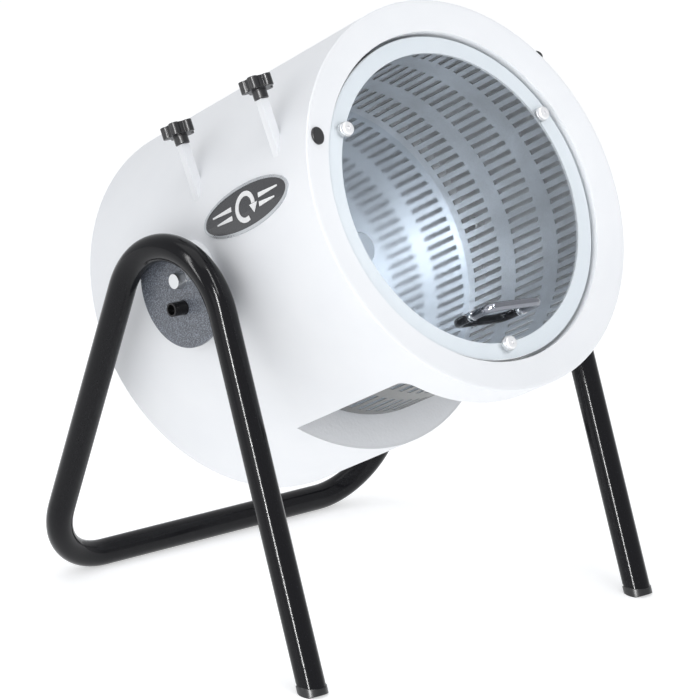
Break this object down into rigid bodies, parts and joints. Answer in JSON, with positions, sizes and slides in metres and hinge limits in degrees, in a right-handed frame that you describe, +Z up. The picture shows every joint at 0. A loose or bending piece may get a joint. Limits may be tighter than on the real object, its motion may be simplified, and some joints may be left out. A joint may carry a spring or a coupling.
{
  "type": "tilting rotary drum shredder",
  "caption": "Tabletop rotary drum machine: white drum casing with a clear round lid, slotted steel drum and bottom outlet, tilting in a black bent-tube stand.",
  "frame": {"origin": "on the floor, straight below the tilt axis, midway between the two stand sides", "axes": "+X along the tilt axis, -Y towards the open front of the drum, +Z up"},
  "size_m": [0.4916, 0.5168, 0.6271],
  "materials": {
    "black_tube": "semi-gloss black powder coat",
    "black_plastic": "satin moulded plastic",
    "grey_plate": "hammered dark grey paint",
    "black_steel": "black oxide",
    "bright_steel": "zinc plated",
    "white_case": "white powder coat, fine texture",
    "cast_case": "cast, painted grey",
    "badge_face": "gloss",
    "badge_edge": "satin",
    "drum_steel": "stainless sheet",
    "mirror_steel": "polished stainless",
    "chromed": "polished",
    "white_flange": "white",
    "clear_sheet": "clear acrylic"
  },
  "bodies": {
    "stand": {"stand_side_left": "black_tube", "stand_side_right": "black_tube", "stand_floor_bar": "black_tube", "foot_plugs": "black_plastic", "pivot_plate_left": "grey_plate", "pivot_plate_right": "grey_plate", "plunger_sleeve_left": "black_steel", "plunger_sleeve_right": "black_steel", "pivot_bolts": "bright_steel", "pivot_nuts": "bright_steel", "pivot_spacers": "bright_steel"},
    "plunger_left": {"plunger_pin_left": "black_steel"},
    "plunger_right": {"plunger_pin_right": "black_steel"},
    "casing": {"casing_shell": "white_case", "front_ring": "white_case", "ring_plug": "black_plastic", "ring_lock_screw": "black_plastic", "bulkhead": "white_case", "bearing_housing": "bright_steel", "gearbox": "cast_case", "motor": "cast_case", "gearbox_bolts": "bright_steel", "rear_cover": "white_case", "cover_screws": "bright_steel", "switch_frame": "black_plastic", "power_inlet": "black_plastic", "index_plate_left": "bright_steel", "index_plate_right": "bright_steel", "clamp_posts": "white_case", "badge_plate": "badge_face", "badge_rim": "badge_edge"},
    "knob_rear": {"star_knob_rear": "black_plastic", "clamp_stud_rear": "bright_steel"},
    "knob_front": {"star_knob_front": "black_plastic", "clamp_stud_front": "bright_steel"},
    "drum": {"drum_sheet": "drum_steel", "drum_back_plate": "mirror_steel", "drum_hub": "drum_steel", "hub_set_screw": "chromed", "drum_shaft": "bright_steel", "drum_flange": "white_flange"},
    "lid": {"clear_lid": "clear_sheet", "lid_spacers": "chromed", "lid_screws": "chromed", "lid_pull": "chromed", "inner_pull": "black_steel", "pull_collars": "chromed", "pull_studs": "bright_steel"},
    "fan": {"motor_fan": "black_plastic"},
    "rocker": {"switch_rocker": "black_plastic"}
  },
  "joints": [
    {"name": "tilt", "type": "hinge", "parent": "stand", "child": "casing", "pos_m": [0, 0, 0.3597], "axis": [1, 0, 0], "range_deg": [-60, 80]},
    {"name": "plunger_left_slide", "type": "slide", "parent": "stand", "child": "plunger_left", "axis": [1, 0, 0], "range_m": [0, 0.006]},
    {"name": "plunger_right_slide", "type": "slide", "parent": "stand", "child": "plunger_right", "axis": [-1, 0, 0], "range_m": [0, 0.006]},
    {"name": "knob_rear_turn", "type": "hinge", "parent": "casing", "child": "knob_rear", "pos_m": [-0.1805, 0.04398, 0.48311], "axis": [0, 0.4871, 0.8733], "range_deg": [-720, 0]},
    {"name": "knob_front_turn", "type": "hinge", "parent": "casing", "child": "knob_front", "pos_m": [-0.1805, -0.07069, 0.54706], "axis": [0, 0.4871, 0.8733], "range_deg": [-720, 0]},
    {"name": "drum_spin", "type": "hinge", "parent": "casing", "child": "drum", "pos_m": [0, -0.00307, 0.3542], "axis": [0, -0.8733, 0.4871], "continuous": true},
    {"name": "lid_off", "type": "slide", "parent": "drum", "child": "lid", "axis": [0, -0.8733, 0.4871], "range_m": [0, 0.2]},
    {"name": "fan_spin", "type": "hinge", "parent": "casing", "child": "fan", "pos_m": [0, 0.12357, 0.28357], "axis": [0, -0.8733, 0.4871], "continuous": true},
    {"name": "switch_rock", "type": "hinge", "parent": "casing", "child": "rocker", "pos_m": [0.033, 0.19554, 0.37854], "axis": [1, 0, 0], "range_deg": [-6, 6]}
  ],
  "couplings": [
    {"joint": "fan_spin", "follows": "drum_spin", "ratio": 12}
  ]
}
